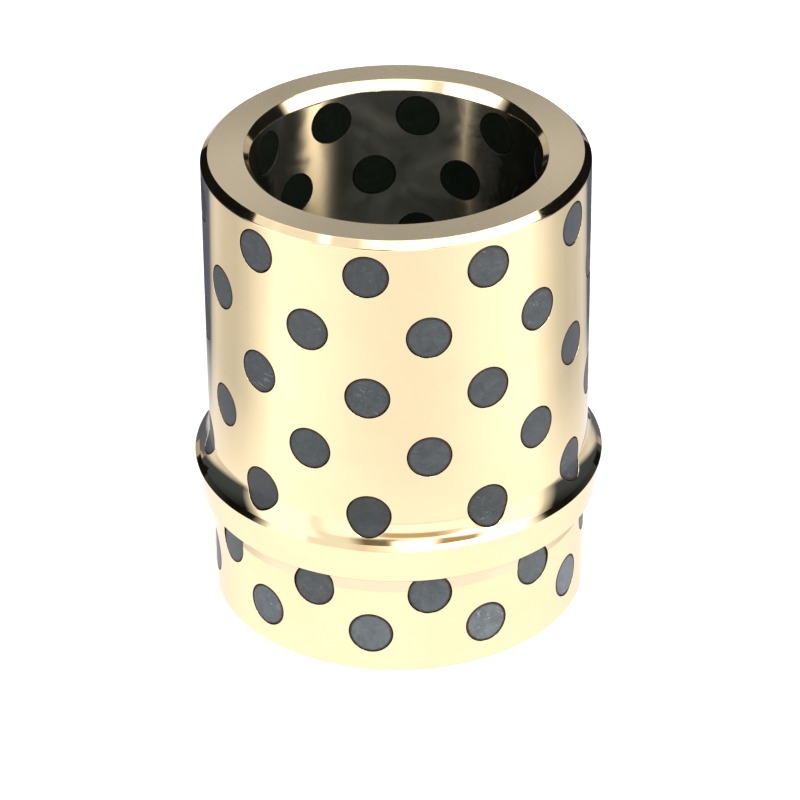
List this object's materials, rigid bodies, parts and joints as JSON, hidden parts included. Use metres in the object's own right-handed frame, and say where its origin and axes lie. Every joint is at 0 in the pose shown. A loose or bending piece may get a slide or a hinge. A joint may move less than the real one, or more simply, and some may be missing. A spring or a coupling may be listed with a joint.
{
  "type": "graphite plugged bushing",
  "caption": "Collared bronze guide bush with staggered rows of graphite plugs set flush through its wall, so that a pin slides in the bore without oil.",
  "frame": {"origin": "centre of the lower end face, on the axis of the bore", "axes": "+Z along the bore, from the spigot end to the sleeve end; a column of plugs faces -Y"},
  "size_m": [0.0548, 0.0548, 0.0648],
  "materials": {
    "bronze": "fine-turned and polished outside and in the bore, ground satin end faces",
    "graphite": "pressed graphite, cut flush, matt with a faint sheen"
  },
  "bodies": {
    "root": {"bronze_bush": "bronze", "plug_column_01": "graphite", "plug_column_02": "graphite", "plug_column_03": "graphite", "plug_column_04": "graphite", "plug_column_05": "graphite", "plug_column_06": "graphite", "plug_column_07": "graphite", "plug_column_08": "graphite", "plug_column_09": "graphite", "plug_column_10": "graphite", "plug_column_11": "graphite", "plug_column_12": "graphite", "plug_column_13": "graphite", "plug_column_14": "graphite", "plug_column_15": "graphite", "plug_column_16": "graphite", "plug_column_17": "graphite", "plug_column_18": "graphite", "plug_column_19": "graphite", "plug_column_20": "graphite"}
  },
  "joints": []
}
